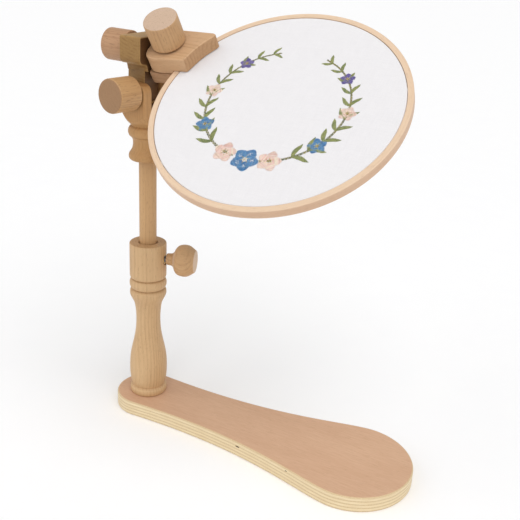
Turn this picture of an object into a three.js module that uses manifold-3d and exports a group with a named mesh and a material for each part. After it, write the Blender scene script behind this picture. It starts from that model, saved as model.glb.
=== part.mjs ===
// Table-top embroidery hoop stand: a plywood base, a turned post with a telescoping mast,
// two clamped pivots and a two-jaw clamp that grips the rim of a wooden hoop.
// Millimetres, +Z up. The origin is the middle of the base's underside, +X along the base
// towards its broad end. Each group's own frame is described where the group is made.

import * as THREE from 'three';
import { mergeVertices } from 'three/addons/utils/BufferGeometryUtils.js';
import Module from 'manifold-3d';

const wasm = await Module();
wasm.setup();

const rad = THREE.MathUtils.degToRad;

// Driving dimensions ---------------------------------------------------------------------
const GAP = 0.3; // running gap between neighbouring pieces

const BASE = { thick: 15, smallR: 30.4, bigR: 54.1, smallX: -124, bigX: 100.3, edge: 1.6 };
const BASE_SIDE = { turn: rad(86.2), smallReach: 139.5, bigReach: 29.4 };
const POST = { x: -123.2, top: 175, bore: 8.9, boreFloor: 108 };
const SCREW = { z: 159.2, turn: rad(20), r: 3, tip: 8.5 };
const ROD = { r: 8, bottom: 128, top: 268 };
const HEAD = {
  turn: rad(-10), halfX: 14.25, halfY: 18.3, bottom: 254.8, top: 325, slotHalf: 9.2, slotFloor: 301,
};
const PIVOT1 = { z: 316.4 };
const LINK = {
  lean: rad(1.4), backX: -15, frontX: 6.6, halfY: 20.6, tenonHalfY: 8.9, tenonLow: -13, tenonFrontX: 5.1,
  under: 24.1, top: 47.6,
};
const PIVOT2 = { rise: 35.6 }; // upper pivot above the lower one
const JAW = {
  tilt: rad(36), rearX: 7.2, rear: [-18.5, 19], near: [46.3, -14], waist: [51.5, 5.5], far: [61.8, 22],
  low: -8.2, top: 8.2, split: 0.8, lower: 11.4, insertR: 4.6,
};
const CLAMP = { x: 23.6, y: 2.8 }; // clamp bolt, from the upper pivot
const HOOP = {
  x: 137.1, y: -30.7, z: -13, outerR: 104.9, wall: 4.8, high: 8.2, cloth: 0.7, innerWall: 4.6, slit: 1.2,
};
const BOLT = { r: 3, hole: 3.35, headAF: 10, headHigh: 4 };
const INSERT = { r: 5.8, length: 12 };
const WASHER = { r: 9, thick: 1.2 };
const KNOB = { lowerR: 14.7, upperR: 13.8, clampR: 14.7, length: 23.8, edge: 1.4, stand: 1.7 };

// Materials ------------------------------------------------------------------------------
const finish = (color, roughness, metalness = 0) => (
  new THREE.MeshStandardMaterial({ color, roughness, metalness })
);
const VENEER = finish(0xcfab88, 0.6);
const BEECH = finish(0xcda87d, 0.55);
const DOWEL = finish(0xbe9b6e, 0.6);
const HOOP_WOOD = finish(0xf0d2aa, 0.5);
const CLOTH = finish(0xf0eef0, 0.95);
const STEEL = finish(0xb8babd, 0.35, 1);
const BRASS = finish(0xc9a35a, 0.35, 1);

// Shape helpers --------------------------------------------------------------------------
function toSolid(geometry) {
  const bare = geometry.clone();
  bare.deleteAttribute('normal');
  bare.deleteAttribute('uv');
  const welded = mergeVertices(bare, 1e-4);
  const corners = welded.index.array;
  const kept = [];
  for (let i = 0; i < corners.length; i += 3) {
    const [a, b, c] = [corners[i], corners[i + 1], corners[i + 2]];
    if (a !== b && b !== c && c !== a) kept.push(a, b, c);
  }
  return new wasm.Manifold(new wasm.Mesh({
    numProp: 3,
    vertProperties: new Float32Array(welded.attributes.position.array),
    triVerts: new Uint32Array(kept),
  }));
}

function toGeometry(solid) {
  const { vertProperties, triVerts } = solid.getMesh();
  const geometry = new THREE.BufferGeometry();
  geometry.setAttribute('position', new THREE.BufferAttribute(vertProperties, 3));
  geometry.setIndex(new THREE.BufferAttribute(triVerts, 1));
  return geometry;
}

const cutFrom = (body, ...tools) => (
  toGeometry(tools.reduce((left, tool) => left.subtract(toSolid(tool)), toSolid(body)))
);
const joined = (...bodies) => toGeometry(bodies.map(toSolid).reduce((a, b) => a.add(b)));
const common = (a, b) => toGeometry(toSolid(a).intersect(toSolid(b)));

// A turned shape about +Z from [radius, height] pairs, listed anticlockwise in the (r, z) plane.
function turned(pairs, segments = 32) {
  const profile = pairs.map(([r, z]) => new THREE.Vector2(r, z));
  return new THREE.LatheGeometry(profile, segments).rotateX(Math.PI / 2);
}

const rod = (r, z0, z1, segments = 24) => turned([[0, z0], [r, z0], [r, z1], [0, z1]], segments);
const sleeve = (r0, r1, z0, z1, segments = 32) => (
  turned([[r0, z0], [r1, z0], [r1, z1], [r0, z1], [r0, z0]], segments)
);
const hexRod = (acrossFlats, z0, z1) => rod(acrossFlats / Math.sqrt(3), z0, z1, 6);

function block(x0, x1, y0, y1, z0, z1) {
  const box = new THREE.BoxGeometry(x1 - x0, y1 - y0, z1 - z0);
  return box.translate((x0 + x1) / 2, (y0 + y1) / 2, (z0 + z1) / 2);
}

// An outline in x, y raised from z0 to z1, with its rims eased by `ease`.
function raised(shape, z0, z1, ease, curveSegments) {
  const depth = z1 - z0 - 2 * ease;
  const bevel = { bevelThickness: ease, bevelSize: ease, bevelOffset: -ease, bevelSegments: 2 };
  return new THREE.ExtrudeGeometry(shape, { depth, ...bevel, curveSegments }).translate(0, 0, z0 + ease);
}

// A round tool or rod made about +Z, laid along X or Y.
const alongX = (geometry) => geometry.rotateY(Math.PI / 2);
const alongY = (geometry) => geometry.rotateX(-Math.PI / 2);

// A side view in (x, z) raised from y0 to y1, and an end view in (y, z) raised from x0 to x1.
const sideRaised = (shape, y0, y1, ease, steps) => raised(shape, -y1, -y0, ease, steps).rotateX(Math.PI / 2);
const endRaised = (shape, x0, x1, ease, steps) => (
  raised(shape, x0, x1, ease, steps).rotateX(Math.PI / 2).rotateZ(Math.PI / 2)
);

// A closed outline through [x, y, corner radius] points.
function roundedOutline(points) {
  const shape = new THREE.Shape();
  points.forEach(([x, y, r], i) => {
    const corner = new THREE.Vector2(x, y);
    const before = new THREE.Vector2(...points.at(i - 1)).sub(corner).normalize();
    const after = new THREE.Vector2(...points[(i + 1) % points.length]).sub(corner).normalize();
    const reach = r / Math.tan(before.angleTo(after) / 2);
    const from = before.multiplyScalar(reach).add(corner);
    const to = after.multiplyScalar(reach).add(corner);
    if (i === 0) shape.moveTo(from.x, from.y);
    else shape.lineTo(from.x, from.y);
    if (r > 0) shape.quadraticCurveTo(x, y, to.x, to.y);
  });
  shape.closePath();
  return shape;
}

function piece(parent, name, geometry, material, at = [0, 0, 0]) {
  const mesh = new THREE.Mesh(geometry, material.clone());
  mesh.name = name;
  mesh.position.set(...at);
  parent.add(mesh);
}

function group(parent, at, turn = [0, 0, 0]) {
  const child = new THREE.Group();
  child.position.set(...at);
  child.rotation.set(...turn);
  parent.add(child);
  return child;
}

// Repeated hardware, all about +Z ---------------------------------------------------------
const washer = (z0) => sleeve(BOLT.hole, WASHER.r, z0, z0 + WASHER.thick, 20);
const insert = (z0) => sleeve(BOLT.hole, INSERT.r, z0, z0 + INSERT.length, 20);
const boltHole = (z0, z1) => rod(BOLT.hole, z0, z1, 20);

// A hex-headed bolt whose head lies below z0 and whose shank ends at z1.
const hexBolt = (z0, z1) => joined(hexRod(BOLT.headAF, z0 - BOLT.headHigh, z0), rod(BOLT.r, z0 - 1, z1, 18));

// A plain cylindrical knob standing on z0, with a socket for its insert and a blind bolt hole.
function knob(r, z0) {
  const { length, edge } = KNOB;
  const socket = INSERT.r + GAP;
  const holeTop = z0 + length - 5;
  const seat = z0 + INSERT.length + 2 * GAP;
  return turned([
    [0, holeTop], [BOLT.hole, holeTop], [BOLT.hole, seat], [socket, seat], [socket, z0],
    [r - edge, z0], [r, z0 + edge], [r, z0 + length - edge], [r - 0.4 * edge, z0 + length - 0.3 * edge],
    [r - edge, z0 + length], [0, z0 + length],
  ], 32);
}

// Base and post ----------------------------------------------------------------------------
// The outline is a small and a big round end, joined by a long curve down each side.
function baseOutline() {
  const { smallR, bigR, smallX, bigX } = BASE;
  const { turn, smallReach, bigReach } = BASE_SIDE;
  const away = new THREE.Vector2(Math.sin(turn), -Math.cos(turn));
  const rimPoint = (x, r) => new THREE.Vector2(x + r * Math.cos(turn), r * Math.sin(turn));
  const small = rimPoint(smallX, smallR);
  const big = rimPoint(bigX, bigR);
  const leave = small.clone().addScaledVector(away, smallReach);
  const arrive = big.clone().addScaledVector(away, -bigReach);
  const shape = new THREE.Shape();
  shape.absarc(bigX, 0, bigR, -turn, turn, false);
  shape.bezierCurveTo(arrive.x, arrive.y, leave.x, leave.y, small.x, small.y);
  shape.absarc(smallX, 0, smallR, turn, 2 * Math.PI - turn, false);
  shape.bezierCurveTo(leave.x, -leave.y, arrive.x, -arrive.y, big.x, -big.y);
  return shape;
}

const BASE_BOLT = { r: 4, hole: 4.4, headR: 8, headLow: 1, headTop: 5.2, seat: 7, top: 50, pocketR: 10 };
const POST_INSERT = { r: 6, top: 41 };

function addBase(stand) {
  const { hole, headR, headLow, headTop, seat, top, pocketR, r } = BASE_BOLT;
  const board = cutFrom(
    raised(baseOutline(), 0, BASE.thick, BASE.edge, 14),
    rod(pocketR, -1, seat, 28).translate(POST.x, 0, 0),
    rod(hole, 0, BASE.thick + 1).translate(POST.x, 0, 0),
  );
  piece(stand, 'base_board', board, VENEER);
  const bolt = joined(rod(headR, headLow, headTop), rod(r, headTop - 1, top, 18));
  piece(stand, 'base_bolt', cutFrom(bolt, hexRod(5, 0, 4)), STEEL, [POST.x, 0, 0]);
  piece(stand, 'base_washer', sleeve(hole, 9, headTop + GAP, seat - GAP, 28), STEEL, [POST.x, 0, 0]);
  const nut = sleeve(hole, POST_INSERT.r, BASE.thick + 0.5, POST_INSERT.top, 24);
  piece(stand, 'post_insert', nut, BRASS, [POST.x, 0, 0]);
}

// Outside of the turned post, bottom to top: foot bead, bulb, waist, two beads and the socket.
const POST_PROFILE = [
  [16.9, 15], [18.1, 17.5], [18.1, 20.5], [16.1, 23.8], [17.3, 28], [18.2, 37], [18.3, 45], [17.9, 53],
  [16.6, 61], [14.6, 70], [12.8, 80], [11.8, 91], [11.7, 98], [12.2, 107], [13.3, 113.5], [16, 119],
  [17.2, 123.5], [16.9, 127], [15.95, 129], [17.1, 131.5], [17.3, 135], [15.8, 139.2], [17.1, 141.2],
  [17.4, 145], [17.4, 174.2], [16.8, 175],
];

function addPost(stand) {
  const { bore, boreFloor, top, x } = POST;
  const floor = BASE.thick;
  const insertHole = POST_INSERT.r + GAP;
  const outside = [[0, floor], ...POST_PROFILE, [0, top]];
  const socket = rod(INSERT.r + GAP, bore - 2, 22, 24);
  const body = cutFrom(
    turned(outside, 36),
    rod(bore, boreFloor, top + 1, 32),
    rod(insertHole, floor - 1, POST_INSERT.top + 2, 24),
    rod(BASE_BOLT.hole, floor, BASE_BOLT.top + 4, 24),
    alongX(socket).rotateZ(SCREW.turn).translate(0, 0, SCREW.z),
  );
  piece(stand, 'lower_post', body, BEECH, [x, 0, 0]);
}

// The height screw's frame has +Z pointing out of the post along the screw.
function addHeightScrew(stand) {
  const facing = group(stand, [POST.x, 0, SCREW.z], [0, 0, SCREW.turn]);
  const axis = group(facing, [0, 0, 0], [0, Math.PI / 2, 0]);
  piece(axis, 'socket_insert', sleeve(BOLT.hole, INSERT.r, POST.bore + 0.6, 16.6, 20), BRASS);
  piece(axis, 'height_screw', rod(SCREW.r, SCREW.tip, 38, 18), STEEL);
  const mushroom = turned([
    [0, 40], [BOLT.hole, 40], [BOLT.hole, 18.4], [5.1, 18.4], [5.6, 19], [5.6, 24], [8.2, 25.4], [13.2, 28.4],
    [15.2, 34], [15.2, 37.4], [14.2, 40.6], [10.9, 45.4], [10, 46], [0, 46],
  ], 28);
  piece(axis, 'height_knob', mushroom, BEECH);
}

// Mast: a dowel that slides in the post, with a turned and slotted head ----------------------
const HEAD_PROFILE = [
  [14.6, 254.8], [16.6, 256.4], [16.9, 258.6], [16.2, 261], [14.4, 263.6], [13.4, 266.6], [13, 270.4],
  [13.4, 274], [15.4, 276.6], [17, 278.8], [17.3, 281.4], [16.6, 284], [14.6, 286.2], [15.8, 288],
  [18.4, 290.8], [21, 295], [22.8, 299.4], [23.8, 305],
];

function headBody() {
  const { halfX, halfY, top, slotHalf, slotFloor, bottom } = HEAD;
  const turnedBlank = turned([[0, bottom], ...HEAD_PROFILE, [24, 310], [24, top], [0, top]], 40);
  const side = roundedOutline([[-halfX, bottom, 0], [halfX, bottom, 0], [halfX, top, 9], [-halfX, top, 9]]);
  const squared = sideRaised(side, -halfY, halfY, 0.8, 5);
  const lathed = block(-halfX - 3, halfX + 3, -halfY, halfY, bottom - 1, 287.2);
  return cutFrom(
    common(turnedBlank, joined(squared, lathed)),
    block(-halfX - 4, halfX + 4, -slotHalf, slotHalf, slotFloor, top + 1),
    rod(ROD.r + GAP, bottom - 1, ROD.top + 1, 28),
    alongY(boltHole(-halfY - 1, halfY + 1)).translate(0, 0, PIVOT1.z),
  );
}

// The head's frame keeps heights from the floor and is turned about the post's axis.
function addMast(stand) {
  const mast = group(stand, [POST.x, 0, 0]);
  piece(mast, 'mast_rod', rod(ROD.r, ROD.bottom, ROD.top, 32), DOWEL);
  const head = group(mast, [0, 0, 0], [0, 0, HEAD.turn]);
  piece(head, 'mast_head', headBody(), BEECH);
  return head;
}

// The lower pivot's frame has +Z out of the head's near ear; the bolt's head is on the far ear.
function addLowerPivot(head) {
  const pivot = group(head, [0, 0, PIVOT1.z], [Math.PI / 2, 0, 0]);
  const near = HEAD.halfY;
  const farFace = -HEAD.halfY - GAP;
  piece(pivot, 'lower_pivot_bolt', hexBolt(farFace - WASHER.thick - GAP, near + 17), STEEL);
  piece(pivot, 'lower_far_washer', washer(farFace - WASHER.thick), STEEL);
  piece(pivot, 'lower_near_washer', washer(near + GAP), STEEL);
  piece(pivot, 'lower_pivot_knob', knob(KNOB.lowerR, near + KNOB.stand), BEECH);
  piece(pivot, 'lower_knob_insert', insert(near + KNOB.stand + GAP), BRASS);
}

// Link: a tenon that swings in the head's slot, under a cross block ---------------------------
function linkTenon() {
  const { backX, tenonFrontX: frontX, tenonHalfY, tenonLow, under } = LINK;
  const top = under + 1.5;
  const side = roundedOutline([
    [backX, top, 0], [backX, tenonLow, 9], [frontX, tenonLow, 9], [frontX, top, 0],
  ]);
  return sideRaised(side, -tenonHalfY, tenonHalfY, 0.6, 6);
}

// A bar across the tenon, whose rounded underside coves into it.
function crossBlock() {
  const { backX, frontX, halfY, under, top, tenonHalfY: neck } = LINK;
  const end = new THREE.Shape();
  end.moveTo(-neck, under - 6);
  end.lineTo(neck, under - 6);
  end.quadraticCurveTo(neck + 0.5, under - 1, neck + 5, under + 1);
  end.quadraticCurveTo(halfY, under + 2.5, halfY, under + 9);
  end.lineTo(halfY, top);
  end.lineTo(-halfY, top);
  end.lineTo(-halfY, under + 9);
  end.quadraticCurveTo(-halfY, under + 2.5, -neck - 5, under + 1);
  end.quadraticCurveTo(-neck - 0.5, under - 1, -neck, under - 6);
  return endRaised(end, backX, frontX, 0.8, 6);
}

function addLink(head) {
  const link = group(head, [0, 0, PIVOT1.z], [0, LINK.lean, 0]);
  const square = new THREE.Matrix4().makeRotationZ(-HEAD.turn);
  const body = cutFrom(
    joined(linkTenon(), crossBlock().applyMatrix4(square)),
    alongY(boltHole(-LINK.halfY, LINK.halfY)),
    alongX(boltHole(LINK.backX - 3, LINK.frontX + 3)).applyMatrix4(square).translate(0, 0, PIVOT2.rise),
  );
  piece(link, 'link_arm', body, BEECH);
  return link;
}

// The upper pivot's frame has +Z out of the cross block's back; its bolt is held in the upper jaw.
function addUpperPivot(clamp) {
  const pivot = group(clamp, [0, 0, 0], [0, -Math.PI / 2, 0]);
  const back = -LINK.backX;
  const jawFace = -JAW.rearX;
  piece(pivot, 'upper_pivot_bolt', rod(BOLT.r, jawFace - 11.5, back + 17, 18), STEEL);
  piece(pivot, 'upper_pivot_insert', sleeve(BOLT.hole, JAW.insertR, jawFace - 11, jawFace - 0.5, 18), BRASS);
  piece(pivot, 'upper_pivot_washer', washer(back + GAP), STEEL);
  piece(pivot, 'upper_pivot_knob', knob(KNOB.upperR, back + KNOB.stand), BEECH);
  piece(pivot, 'upper_knob_insert', insert(back + KNOB.stand + GAP), BRASS);
}

// Clamp: the frame has +X along the jaws, +Z square to the hoop, origin on the upper pivot -----
const jawOutline = (heel) => roundedOutline([
  [JAW.rearX, JAW.rear[0], heel], [...JAW.near, 2.5], [...JAW.waist, 60], [...JAW.far, 3.5],
  [JAW.rearX, JAW.rear[1], 4],
]);

const hoopToClamp = () => Math.atan2(CLAMP.y - HOOP.y, CLAMP.x - HOOP.x);

// Room in both jaws for the hoop's rim and for its tension screw, in the clamp's frame.
function rimRoom() {
  const { x, y, z, outerR, high } = HOOP;
  const [floor, roof] = [z - GAP, z + high + GAP];
  const rim = rod(outerR + 0.4, floor, roof, 96);
  const screwRoom = block(90, 114.3, -14.5, 14.5, floor, roof).rotateZ(hoopToClamp());
  return [rim, screwRoom].map((room) => room.translate(x, y, 0));
}

function addClamp(link) {
  const square = group(link, [0, 0, PIVOT2.rise], [0, 0, -HEAD.turn]);
  const clamp = group(square, [0, 0, 0], [JAW.tilt, 0, 0]);
  const { low, top, split, lower, rearX, insertR } = JAW;
  const lowerTop = low - split;
  const clampHole = boltHole(lowerTop - lower - 1, top + 1).translate(CLAMP.x, CLAMP.y, 0);
  const pivotHole = alongX(rod(insertR + GAP, rearX - 1, rearX + 12, 20));
  const upper = cutFrom(raised(jawOutline(11), low, top, 1, 5), ...rimRoom(), clampHole, pivotHole);
  const lowerBody = cutFrom(raised(jawOutline(4), lowerTop - lower, lowerTop, 1, 5), ...rimRoom(), clampHole);
  piece(clamp, 'upper_jaw', upper, BEECH);
  piece(clamp, 'lower_jaw', lowerBody, BEECH);
  return clamp;
}

function addClampScrew(clamp) {
  const axis = group(clamp, [CLAMP.x, CLAMP.y, 0]);
  const { low, top, split, lower } = JAW;
  const under = low - split - lower - GAP;
  piece(axis, 'clamp_bolt', hexBolt(under - WASHER.thick - GAP, top + 18), STEEL);
  piece(axis, 'clamp_bolt_washer', washer(under - WASHER.thick), STEEL);
  piece(axis, 'clamp_knob_washer', washer(top + GAP), STEEL);
  piece(axis, 'clamp_knob', knob(KNOB.clampR, top + KNOB.stand), BEECH);
  piece(axis, 'clamp_knob_insert', insert(top + KNOB.stand + GAP), BRASS);
}

// Hoop: the frame's origin is the centre of the rings' undersides -----------------------------
function ring(r0, r1, high, ease) {
  return turned([
    [r0, 0], [r1 - ease, 0], [r1, ease], [r1, high - ease], [r1 - 0.3 * ease, high - 0.3 * ease],
    [r1 - ease, high], [r0, high], [r0, 0],
  ], 72);
}

const TENSION = { r: 1.5, hole: 1.8, out: 110.4, z: 4.1 };

// One brass lug of the tension screw, side = +1 or -1, in a frame with +X out of the rim.
function lug(side) {
  const [near, plateEnd] = [2.2, 11];
  const span = (a, b) => (side > 0 ? [a, b] : [-b, -a]);
  const plate = block(104.9, 106.2, ...span(near, plateEnd), 1, 7.2);
  const ear = block(105.5, 113.4, ...span(near, near + 2), 1, 7.2);
  const hole = alongY(rod(TENSION.hole, -6, 6, 16)).translate(TENSION.out, 0, TENSION.z);
  return cutFrom(joined(plate, ear), hole);
}

function addHoop(clamp) {
  const { x, y, z, outerR, wall, high, cloth, innerWall, slit } = HOOP;
  const hoop = group(clamp, [x, y, z]);
  const toClamp = hoopToClamp();
  const outerInside = outerR - wall;
  const innerOutside = outerInside - cloth;
  const cut = block(95, 110, -slit, slit, -1, high + 1).rotateZ(toClamp);
  piece(hoop, 'hoop_outer_ring', cutFrom(ring(outerInside, outerR, high, 0.9), cut), HOOP_WOOD);
  const inner = ring(innerOutside - innerWall, innerOutside, high - cloth - GAP, 0.6);
  piece(hoop, 'hoop_inner_ring', inner, HOOP_WOOD);
  piece(hoop, 'fabric', rod(outerInside - GAP, high - cloth, high, 72), CLOTH);
  const mouth = group(hoop, [0, 0, 0], [0, 0, toClamp]);
  piece(mouth, 'hoop_lug_left', lug(-1), BRASS);
  piece(mouth, 'hoop_lug_right', lug(1), BRASS);
  const screw = group(mouth, [TENSION.out, 0, TENSION.z], [-Math.PI / 2, 0, 0]);
  const screwBody = joined(rod(2.9, -7.6, -4.5, 20), rod(TENSION.r, -5, 9.5, 14));
  const slot = block(-4, 4, -0.5, 0.5, -8, -6.6);
  piece(screw, 'hoop_tension_screw', cutFrom(screwBody, slot), STEEL);
  piece(screw, 'hoop_tension_nut', sleeve(TENSION.hole, 3, 4.5, 7.5, 20), BRASS);
}

const stand = new THREE.Group();
addBase(stand);
addPost(stand);
addHeightScrew(stand);
const head = addMast(stand);
addLowerPivot(head);
const link = addLink(head);
const clamp = addClamp(link);
addUpperPivot(clamp);
addClampScrew(clamp);
addHoop(clamp);

export default stand;
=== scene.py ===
import math
import random

import bmesh
import bpy
from mathutils import Matrix, Vector


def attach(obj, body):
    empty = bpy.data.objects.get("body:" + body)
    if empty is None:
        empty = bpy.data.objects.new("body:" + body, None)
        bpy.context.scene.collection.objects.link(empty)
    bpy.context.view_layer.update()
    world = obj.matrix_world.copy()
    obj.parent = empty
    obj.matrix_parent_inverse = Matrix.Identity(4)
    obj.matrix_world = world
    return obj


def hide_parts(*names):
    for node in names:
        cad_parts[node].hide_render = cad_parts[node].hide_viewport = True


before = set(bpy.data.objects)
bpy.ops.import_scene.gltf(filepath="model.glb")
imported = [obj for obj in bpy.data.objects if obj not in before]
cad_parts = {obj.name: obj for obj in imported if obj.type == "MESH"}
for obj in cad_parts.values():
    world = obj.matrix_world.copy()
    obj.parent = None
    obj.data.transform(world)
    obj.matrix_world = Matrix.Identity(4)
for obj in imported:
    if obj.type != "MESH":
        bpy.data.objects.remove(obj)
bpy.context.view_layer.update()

MM = 0.001
GAP = 0.3  # clearance round holes and inserts, and under washers
THROUGH = 30  # reach each way of a cutter that goes right through

# Dimensions of the stand, in millimetres --------------------
BASE = dict(thick=15, small_r=30.4, big_r=54.1, small_x=-124, big_x=100.3, ease=1.7)
BASE_SIDE = dict(turn=math.radians(86.2), small_reach=139.5, big_reach=29.4)
WELL_R, WELL_DEEP, FOOT_HOLE = 10, 7, 4.4
POST_X, POST_TOP, BORE, BORE_FLOOR = -123.2, 175, 8.9, 108
SCREW_Z, SCREW_TURN, BUSH_END = 159.2, math.radians(20), 16.6
ROD_R, ROD_BOTTOM, ROD_TOP = 8, 128, 268
HEAD_TURN, HEAD_X, HEAD_Y = math.radians(-10), 14.25, 18.3
HEAD_BOTTOM, HEAD_TOP, LATHED_TOP, SLOT_HALF, SLOT_FLOOR = 254.8, 325, 287.2, 9.2, 301
PIVOT_Z, PIVOT_RISE = 316.4, 35.6
LEAN, TILT = math.radians(1.4), math.radians(36)
LINK_BACK, LINK_FRONT, LINK_HALF_Y = -15, 6.6, 20.6
TENON_HALF_Y, TENON_LOW, TENON_FRONT, LINK_UNDER, LINK_TOP = 8.9, -13, 5.1, 24.1, 47.6
JAW_REAR_X, JAW_TOP, JAW_SPLIT, JAW_LOWER, JAW_EASE = 7.2, 8.2, 0.8, 11.4, 1.3
CLAMP_X, CLAMP_Y = 23.6, 2.8
HOOP_X, HOOP_Y, HOOP_Z = 137.1, -30.7, -13
HOOP_R, WALL, HOOP_HIGH, INNER_R, INNER_WALL, SLIT = 104.9, 4.8, 8.2, 99.4, 4.6, 1.2
CLOTH_TOP, CLOTH_THICK, CLOTH_HEM = 7.72, 0.36, 0.7  # from the rings' undersides
LUG_LOW, LUG_HIGH, LUG_NEAR, TENSION_R, TENSION_Z, TENSION_HOLE = 1, 7.2, 2.2, 110.4, 4.1, 1.8
BOLT_R, BOLT_HOLE, WASHER_R, WASHER_THICK = 3, 3.35, 9, 1.2
INSERT_R, INSERT_LONG, BUSH_R, BUSH_LONG = 5.8, 12, 4.6, 10.5
KNOB_R, KNOB_LONG, KNOB_STAND, KNOB_CROWN = 14.7, 23.8, 1.7, 5


# Frames: each group's own axes, in metres -------------------
def shift(x, y, z):
    return Matrix.Translation((x * MM, y * MM, z * MM))


def turn(angle, axis):
    return Matrix.Rotation(angle, 4, axis)


WORLD = Matrix.Identity(4)
Z_TO_RIGHT, Z_TO_LEFT = turn(math.pi / 2, "Y"), turn(-math.pi / 2, "Y")
Z_TO_NEAR, Z_TO_FAR = turn(math.pi / 2, "X"), turn(-math.pi / 2, "X")
POST = shift(POST_X, 0, 0)
SCREW = shift(POST_X, 0, SCREW_Z) @ turn(SCREW_TURN, "Z") @ Z_TO_RIGHT
HEAD = POST @ turn(HEAD_TURN, "Z")
LOWER_PIVOT = HEAD @ shift(0, 0, PIVOT_Z) @ Z_TO_NEAR
LINK = HEAD @ shift(0, 0, PIVOT_Z) @ turn(LEAN, "Y")
CLAMP = LINK @ shift(0, 0, PIVOT_RISE) @ turn(-HEAD_TURN, "Z") @ turn(TILT, "X")
UPPER_PIVOT = CLAMP @ Z_TO_LEFT
CLAMP_AXIS = CLAMP @ shift(CLAMP_X, CLAMP_Y, 0)
HOOP = CLAMP @ shift(HOOP_X, HOOP_Y, HOOP_Z)
TO_CLAMP = math.atan2(CLAMP_Y - HOOP_Y, CLAMP_X - HOOP_X)
MOUTH = HOOP @ turn(TO_CLAMP, "Z")
TENSION = MOUTH @ shift(TENSION_R, 0, TENSION_Z) @ Z_TO_FAR
# The rings are drawn with the slit at -X, then turned to bring it to the clamp.
RING_TURN = TO_CLAMP + math.pi


# Node graphs ------------------------------------------------
class Graph:
    """A material's node tree, with short calls to add nodes and join them."""

    def __init__(self, name):
        self.material = bpy.data.materials.new(name)
        self.material.use_nodes = True
        self.tree = self.material.node_tree
        self.tree.nodes.clear()

    def node(self, kind, inputs=None, **settings):
        node = self.tree.nodes.new("ShaderNode" + kind)
        for key, value in settings.items():
            setattr(node, key, value)
        for key, value in (inputs or {}).items():
            if isinstance(value, bpy.types.NodeSocket):
                self.tree.links.new(value, node.inputs[key])
            else:
                node.inputs[key].default_value = value
        return node

    def math(self, operation, a, b=0.0):
        return self.node("Math", {0: a, 1: b}, operation=operation).outputs[0]

    def vector(self, operation, a, b):
        return self.node("VectorMath", {0: a, 1: b}, operation=operation).outputs[0]

    def split(self, vector):
        return self.node("SeparateXYZ", {0: vector}).outputs[:]

    def total(self, start, *terms):
        """A start value, plus each (value, weight) term's product."""
        for value, weight in terms:
            values = {0: value, 1: weight, 2: start}
            start = self.node("Math", values, operation="MULTIPLY_ADD").outputs[0]
        return start

    def points(self, spin=(0, 0, 0), offset=(0, 0, 0)):
        """Object coordinates in millimetres, turned and moved."""
        source = self.node("TexCoord").outputs["Object"]
        values = {"Vector": source, "Location": offset, "Rotation": spin, "Scale": (1 / MM,) * 3}
        return self.node("Mapping", values).outputs[0]

    def stretch(self, points, scale):
        return self.node("Mapping", {"Vector": points, "Scale": scale}).outputs[0]

    def noise(self, points, scale, detail=2.0, rough=0.5):
        values = {"Vector": points, "Scale": scale, "Detail": detail, "Roughness": rough}
        return self.node("TexNoise", values).outputs["Fac"]

    def ramp(self, value, low, high):
        """0 up to low, 1 from high, smooth between."""
        values = {"Value": value, "From Min": low, "From Max": high}
        node = self.node("MapRange", values, interpolation_type="SMOOTHSTEP")
        return node.outputs[0]

    def mix(self, amount, a, b, blend="MIX"):
        """Colour a, then b as amount goes to 1. Sockets 6, 7 and 2 are the node's colour ones."""
        node = self.node("Mix", {0: amount, 6: a, 7: b}, data_type="RGBA", blend_type=blend)
        return node.outputs[2]

    def finish(self, color, roughness, height=None, strength=0.2, distance=0.0001, **values):
        inputs = {"Base Color": color, "Roughness": roughness}
        inputs.update(values)
        if height is not None:
            bump = {"Height": height, "Strength": strength, "Distance": distance}
            inputs["Normal"] = self.node("Bump", bump).outputs[0]
        shader = self.node("BsdfPrincipled", inputs)
        output = self.node("OutputMaterial")
        self.tree.links.new(shader.outputs[0], output.inputs[0])
        return self.material


def rgb(red, green, blue):
    """A display colour, 0 to 255, as linear light."""
    def linear(c):
        c /= 255
        return c / 12.92 if c <= 0.04045 else ((c + 0.055) / 1.055) ** 2.4
    return (linear(red), linear(green), linear(blue), 1.0)


def times(color, factor):
    return tuple(min(1.0, c * factor) for c in color[:3]) + (1.0,)


# Wood -------------------------------------------------------
GRAIN_TURN = {"Z": (0, 0, 0), "X": (0, -math.pi / 2, 0), "Y": (math.pi / 2, 0, 0)}


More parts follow.
